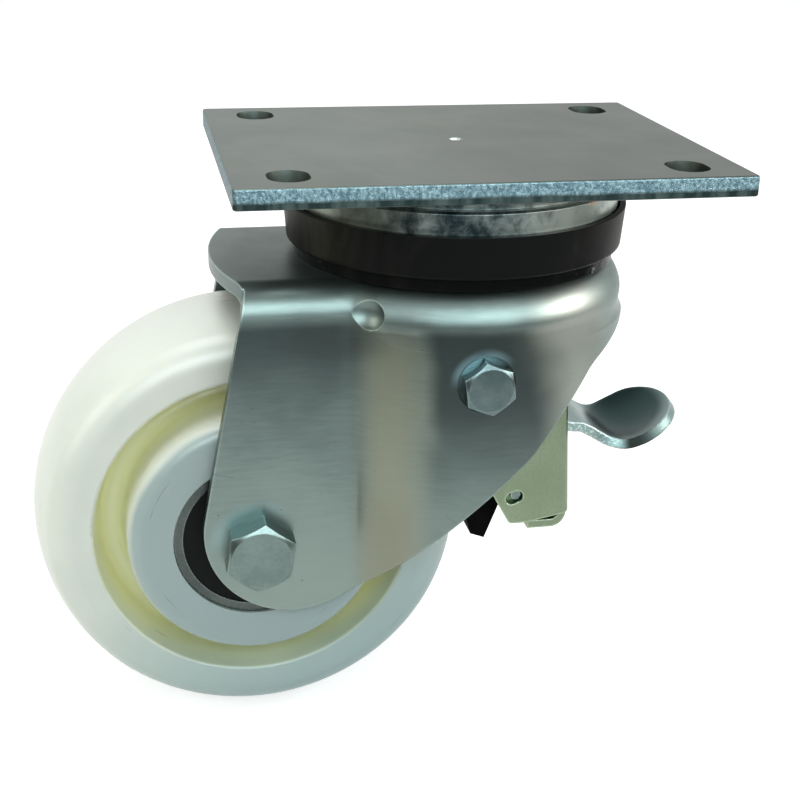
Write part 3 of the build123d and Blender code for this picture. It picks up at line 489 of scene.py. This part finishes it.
def nylon_finish():
    """White turned nylon: painted shade below and on the hub, a painted yellow glow in the groove, fine
    turning lines and thin grey scuffs.
    """
    painted_shade_white = (0.290, 0.405, 0.400)
    hub_painted_shade = (0.255, 0.335, 0.335)
    groove_painted_glow = (0.88, 0.87, 0.50)
    scuff_grey = (0.20, 0.21, 0.19)
    finish = Finish("nylon_white", Subsurface_Weight=0.35, Subsurface_Scale=5 * MM, IOR=1.53)
    finish.set(Subsurface_Radius=(1.0, 0.95, 0.6))
    place = finish.place()
    x, y, z = finish.axes(place)
    side = x.size()
    radius = ((y - axle_y) ** 2.0 + (z - axle_z) ** 2.0).root()
    angle = finish.node("ShaderNodeMath", {"operation": "ARCTAN2"}, {0: z - axle_z, 1: y - axle_y})
    # white above and on the open side; painted shade makes it greyer below, towards the pedal and on the
    # hub, under the fork
    cloud = finish.noise(place, 26.0, rough=0.5)
    finish.colour = finish.blend(cloud.ramp(0.35, 0.65), (0.60, 0.635, 0.575), (0.665, 0.685, 0.62))
    finish.tint((z - y * 0.5).fall(-150 * MM, -50 * MM), painted_shade_white)
    finish.tint(radius.fall(34.5 * MM, 36.5 * MM) * 0.85, hub_painted_shade)
    # painted glow of light through the nylon: the groove yellows with its depth, on the rim's wall and on
    # the hub's wall, and more towards the top
    rim_wall = radius.ramp(41.0 * MM, 44.0 * MM) * radius.fall(45.4 * MM, 46.2 * MM)
    rim_wall = rim_wall * side.ramp(12.0 * MM, 23.0 * MM, 1.0, 0.35)
    hub_wall = radius.ramp(35.0 * MM, 36.5 * MM) * radius.fall(41.0 * MM, 44.0 * MM)
    hub_wall = hub_wall * side.ramp(10.0 * MM, 26.0 * MM, 0.75, 0.0)
    groove_glow_mask = (rim_wall + hub_wall).clamp() * z.ramp(-158 * MM, -125 * MM, 0.6, 1.0)
    finish.tint(groove_glow_mask, groove_painted_glow)
    # thin scuffs that run round the tread and the rim's face
    ring = finish.line_noise(radius + side * 0.7, 1400.0, detail=1.0)
    around = finish.vector(angle * 0.9, radius * 60.0, side * 60.0)
    scuff = ring.ramp(0.68, 0.76) * finish.noise(around, 2.6, detail=2.0, rough=0.6).ramp(0.6, 0.72)
    finish.tint(scuff * 0.5, scuff_grey)
    turned = finish.line_noise(radius + side, 2600.0)
    finish.set(Base_Color=finish.colour, Roughness=0.30 + turned * 0.08 + scuff * 0.2)
    finish.set(Normal=finish.bump(turned, 0.006 * MM))
    return finish


def dress(finish, *names):
    """Gives each of the named nodes the finish."""
    for name in names:
        slots = nodes[name].material_slots
        for slot in slots:
            slot.material = finish.material
        if not slots:
            nodes[name].data.materials.append(finish.material)


fork_zinc = fork_finish()
bracket_zinc = zinc("bracket_zinc", (0.150, 0.190, 0.125), (0.200, 0.245, 0.170), 14 * MM)
pedal_zinc = pedal_finish()
fastener_zinc = zinc("fastener_zinc", (0.112, 0.148, 0.138), (0.160, 0.205, 0.190), 12 * MM, (0.24, 0.34))
# a darker copy of the bolts' zinc for the brake bolt and its nut: painted shade
shaded_bolt_zinc = zinc("shaded_bolt_zinc", (0.085, 0.120, 0.120), (0.140, 0.180, 0.180), 8 * MM, (0.22, 0.32))
bearing_steel = zinc("bearing_steel", (0.050, 0.060, 0.057), (0.080, 0.092, 0.088), 12 * MM, (0.2, 0.3))

dress(plate_finish(), "top_plate")
dress(race_finish(), "upper_race")
dress(seal_finish(), "dust_seal")
dress(bearing_seal_finish(), "bearing_seals")
dress(shoe_finish(), "brake_shoe")
dress(nylon_finish(), "wheel")
dress(fork_zinc, "fork")
dress(bracket_zinc, "brake_bracket", "shoe_straps", "brake_cams")
dress(pedal_zinc, "pedal_lever")
dress(fastener_zinc, "axle_bolt", "axle_nut", "king_nut")
dress(shaded_bolt_zinc, "brake_bolt", "brake_nut")
dress(fastener_zinc, "guide_pin", "shoe_rivet", "lever_pin", "king_pin", "king_cup")
dress(fastener_zinc, "axle_tube", "inner_spacer", "end_bushes", "brake_spacers", "pivot_tube")
dress(bearing_steel, "upper_balls", "crown_race", "lower_balls")
dress(bearing_steel, "bearing_outer_rings", "bearing_inner_rings", "bearing_balls")


# The pedal is drawn in mm and scaled once.
# Along it: place Y, height of the sheet's upper edges, depth of the dish between them.
pedal_stations = (
    (24.4, -79.9, 0.0),
    (30.0, -82.0, 0.0),
    (36.0, -83.7, 0.0),
    (39.3, -84.1, 0.0),
    (42.2, -85.5, 0.0),
    (45.9, -87.7, 0.5),
    (48.5, -88.9, 1.3),
    (52.0, -89.3, 2.3),
    (56.6, -88.0, 3.1),
    (61.0, -86.1, 3.4),
    (65.0, -84.4, 3.5),
    (69.0, -82.9, 3.5),
    (73.0, -81.6, 3.5),
)
root_half_width = 9.5
root_end_y = 30.0
strip_half_width = 12.5
swell_start_y = 44.0
swell_length = 11.0
tilt_start_y = 50.0
tilt_length = 12.0
tilt_aside = 0.9
tilt_drop = 0.5
sheet_thickness = 3.0
hub_radius = 6.0
hub_bore_radius = 3.1
hub_corner = 0.4


def share(place, start, length):
    """How far a place is along a length, from 0 to 1."""
    return min(max((place - start) / length, 0.0), 1.0)


def between(stations, place):
    """Smooth values between stations, each a place followed by its values."""
    last = len(stations) - 1
    index = max(i for i in range(last) if stations[i][0] <= place or i == 0)
    start, end = stations[index], stations[index + 1]
    before, after = stations[max(index - 1, 0)], stations[min(index + 2, last)]
    span = end[0] - start[0]
    t = share(place, start[0], span)
    values = []
    for k in range(1, len(start)):
        out = (end[k] - before[k]) / (end[0] - before[0]) * span
        into = (after[k] - start[k]) / (after[0] - start[0]) * span
        rise = end[k] - start[k]
        bend, turn = 3 * rise - 2 * out - into, out + into - 2 * rise
        values.append(start[k] + out * t + bend * t**2 + turn * t**3)
    return values


def pad_share(place):
    """How much of the pad's full depth and squared width is left towards its tip."""
    return 1 - max((place - pad_round_y) / (pad_tip_y - pad_round_y), 0.0) ** 2


def pedal_half(place):
    """Half the pedal's width: narrow in the bracket, the strip, then the round pad."""
    if place < root_end_y:
        return root_half_width
    swell = share(place, swell_start_y, swell_length)
    half = strip_half_width + (pad_half_width - strip_half_width) * swell**2 * (3 - 2 * swell)
    return half * sqrt(pad_share(place))


def pedal_height(x, place):
    """Height of the sheet's upper face. The pad is dished and a little tilted."""
    rim, dish = between(pedal_stations, place)
    tilt = share(place, tilt_start_y, tilt_length) * (tilt_aside * x / pad_half_width - tilt_drop)
    if place > pad_round_y:
        return rim - tilt - dish * (pad_share(place) - (x / pad_half_width) ** 2)
    return rim - tilt - dish * (1 - (x / pedal_half(place)) ** 2)


def add_mesh(name, points, faces, finish, sharp=40):
    """A smooth mesh with sharp edges where its faces meet at more than an angle in degrees."""
    mesh = bpy.data.meshes.new(name)
    mesh.from_pydata(points, [], faces)
    mesh.update()
    mesh.polygons.foreach_set("use_smooth", [True] * len(mesh.polygons))
    mesh.set_sharp_from_angle(angle=radians(sharp))
    mesh.materials.append(finish.material)
    new = bpy.data.objects.new(name, mesh)
    bpy.context.scene.collection.objects.link(new)
    return new


def make_pedal_sheet():
    """One bent sheet, smooth from its root through the neck to the dished pad."""
    rows, columns, small = 110, 24, 0.02
    # rows crowd together towards the round end, and the last one leaves the tip a short edge
    row_reach = 0.985
    first = pedal_stations[0][0]
    upper, lower = [], []
    for row in range(rows + 1):
        place = first + (pad_tip_y - first) * sin(row / rows * row_reach * pi / 2)
        for column in range(columns + 1):
            x = (column / columns * 2 - 1) * pedal_half(place)
            point = Vector((x, place, pedal_height(x, place)))
            slope_x = (pedal_height(x + small, place) - pedal_height(x - small, place)) / (2 * small)
            slope_y = (pedal_height(x, place + small) - pedal_height(x, place - small)) / (2 * small)
            normal = Vector((-slope_x, -slope_y, 1.0)).normalized()
            upper.append(point * MM)
            lower.append((point - normal * sheet_thickness) * MM)
    width = columns + 1
    count = len(upper)
    faces = []
    for row in range(rows):
        for column in range(columns):
            corner = row * width + column
            quad = (corner, corner + 1, corner + width + 1, corner + width)
            faces.append(quad)
            faces.append(tuple(count + index for index in reversed(quad)))
    # the wall all round, from the upper sheet to the lower one
    rim = list(range(width))
    rim += [row * width + columns for row in range(1, rows + 1)]
    rim += [rows * width + column for column in reversed(range(columns))]
    rim += [row * width for row in reversed(range(1, rows))]
    for index, here in enumerate(rim):
        beside = rim[(index + 1) % len(rim)]
        faces.append((beside, here, count + here, count + beside))
    return add_mesh("pedal_sheet", upper + lower, faces, pedal_zinc)


def make_pedal_hub():
    """The short tube that the pedal turns on."""
    steps, half = 64, root_half_width
    # half the tube's section: place along the pin, distance from it
    section = (
        (half, hub_bore_radius),
        (half, hub_radius - hub_corner),
        (half - hub_corner, hub_radius),
        (hub_corner - half, hub_radius),
        (-half, hub_radius - hub_corner),
        (-half, hub_bore_radius),
    )
    points, faces = [], []
    for step in range(steps):
        angle = step / steps * 2 * pi
        for along, out in section:
            points.append((along * MM, pin_y + out * MM * cos(angle), pin_z + out * MM * sin(angle)))
    count = len(section)
    for step in range(steps):
        here, beside = step * count, (step + 1) % steps * count
        for k in range(count):
            after = (k + 1) % count
            faces.append((here + k, here + after, beside + after, beside + k))
    return add_mesh("pedal_hub", points, faces, pedal_zinc, sharp=25)


def make_pedal():
    for piece in (make_pedal_sheet(), make_pedal_hub()):
        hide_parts("pedal_lever")
        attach(piece, "pedal")


def make_floor():
    """A pale floor that takes shadows and shows white to the eye."""
    reach, glow = 12.0, 0.66
    mesh = bpy.data.meshes.new("floor")
    corners = [(-reach, -reach), (reach, -reach), (reach, reach), (-reach, reach)]
    mesh.from_pydata([(x, y, floor_z) for x, y in corners], [], [(0, 1, 2, 3)])
    floor = bpy.data.objects.new("floor", mesh)
    bpy.context.scene.collection.objects.link(floor)
    finish = Finish("floor_pale", Base_Color=(0.62, 0.62, 0.61), Roughness=0.9)
    # the glow is for rays that see the floor straight, in a reflection or through glass
    rays = finish.node("ShaderNodeLightPath").socket.node
    straight, reflected, through = (Amount(finish, rays.outputs[name]) for name in seen_rays)
    seen = (straight + reflected + through).clamp()
    light = finish.node("ShaderNodeEmission", None, {"Color": (1.0, 1.0, 1.0), "Strength": seen * glow})
    plain = Amount(finish, finish.surface.outputs[0])
    both = finish.node("ShaderNodeAddShader", None, {0: plain, 1: light})
    finish.feed(finish.output.inputs["Surface"], both)
    mesh.materials.append(finish.material)


def make_world():
    """White wherever the eye or a reflection sees it, and a weaker light on the part."""
    world = bpy.data.worlds.new("studio")
    world.use_nodes = True
    bpy.context.scene.world = world
    tree = world.node_tree
    tree.nodes.clear()
    light = tree.nodes.new("ShaderNodeBackground")
    light.inputs["Color"].default_value = (0.95, 0.98, 1.0, 1.0)
    light.inputs["Strength"].default_value = 0.42
    white = tree.nodes.new("ShaderNodeBackground")
    white.inputs["Color"].default_value = (1.0, 1.0, 1.0, 1.0)
    white.inputs["Strength"].default_value = 1.0
    rays = tree.nodes.new("ShaderNodeLightPath")
    last = light
    for name in seen_rays:
        mix = tree.nodes.new("ShaderNodeMixShader")
        tree.links.new(rays.outputs[name], mix.inputs[0])
        tree.links.new(last.outputs[0], mix.inputs[1])
        tree.links.new(white.outputs[0], mix.inputs[2])
        last = mix
    out = tree.nodes.new("ShaderNodeOutputWorld")
    tree.links.new(last.outputs[0], out.inputs["Surface"])


def soft_box(name, place, size, power, colour, shown=True, lights=True):
    """A square area lamp that points at the middle of the part."""
    lamp_aim = Vector((0.0, -0.02, -0.08))
    lamp = bpy.data.lights.new(name, "AREA")
    lamp.shape = "RECTANGLE"
    lamp.size, lamp.size_y = size
    lamp.energy = power
    lamp.color = colour
    holder = bpy.data.objects.new(name, lamp)
    holder.location = place
    holder.rotation_mode = "QUATERNION"
    holder.rotation_quaternion = (lamp_aim - Vector(place)).to_track_quat("-Z", "Y")
    holder.visible_glossy = shown
    holder.visible_diffuse = lights
    bpy.context.scene.collection.objects.link(holder)


def make_lights():
    """Lamps that light the part, and windows that only its gloss shows."""
    # name, place, size, watts, colour
    soft_box("key", (1.10, 0.0, 0.65), (1.2, 0.30), 6.0, (0.84, 0.96, 1.0), shown=False)
    soft_box("window", (1.10, 0.05, 0.36), (1.4, 0.72), 20.0, (0.80, 0.95, 1.0), lights=False)
    soft_box("overhead", (0.05, -0.25, 1.15), (0.8, 0.7), 8.5, (0.95, 0.99, 1.0))
    soft_box("left_side", (0.30, -1.1, 0.35), (0.7, 0.6), 4.5, (1.0, 0.96, 0.82))
    soft_box("right_side", (0.10, 1.05, 0.60), (0.6, 0.5), 4.5, (1.0, 0.99, 0.96), shown=False)
    soft_box("right_window", (0.45, 1.0, 0.20), (0.9, 0.6), 15.0, (1.0, 0.99, 0.95), lights=False)


def make_dark_screen():
    """A low dark studio screen in front of the part that only metal and gloss show."""
    radius, top, arc, steps = 0.37, 0.0, 1.1 * pi, 32
    points, faces = [], []
    for step in range(steps + 1):
        angle = (step / steps - 0.5) * arc
        for z in (floor_z, top):
            points.append((radius * cos(angle), radius * sin(angle), z))
    for step in range(steps):
        faces.append((2 * step, 2 * step + 2, 2 * step + 3, 2 * step + 1))
    mesh = bpy.data.meshes.new("dark_screen")
    mesh.from_pydata(points, [], faces)
    screen = bpy.data.objects.new("dark_screen", mesh)
    bpy.context.scene.collection.objects.link(screen)
    mesh.materials.append(Finish("screen_dark", Base_Color=(0.03, 0.035, 0.035), Roughness=1.0).material)
    screen.visible_camera = False
    screen.visible_diffuse = False
    screen.visible_shadow = False


def make_camera():
    """The photograph's own place and angle, measured from the plate, bolts and wheel."""
    place = (0.384647, -0.092868, 0.077175)
    turn, dip, roll = 0.20088, 0.37749, 0.01981
    focal_pixels, image_pixels, sensor_width = 1402.7, 800, 36.0
    look = Vector((-cos(turn) * cos(dip), sin(turn) * cos(dip), -sin(dip)))
    side = look.cross(Vector((0, 0, 1))).normalized()
    up = side.cross(look)
    right = cos(roll) * side + sin(roll) * up
    top = cos(roll) * up - sin(roll) * side
    lens = bpy.data.cameras.new("camera")
    lens.sensor_fit = "HORIZONTAL"
    lens.sensor_width = sensor_width
    lens.lens = focal_pixels * sensor_width / image_pixels
    lens.clip_start = 0.01
    camera = bpy.data.objects.new("camera", lens)
    turned = Matrix((right, top, -look)).transposed().to_4x4()
    camera.matrix_world = Matrix.Translation(place) @ turned
    bpy.context.scene.collection.objects.link(camera)
    bpy.context.scene.camera = camera


make_world()
make_pedal()
make_floor()
make_dark_screen()
make_lights()
make_camera()
bpy.context.scene.view_settings.view_transform = "Standard"
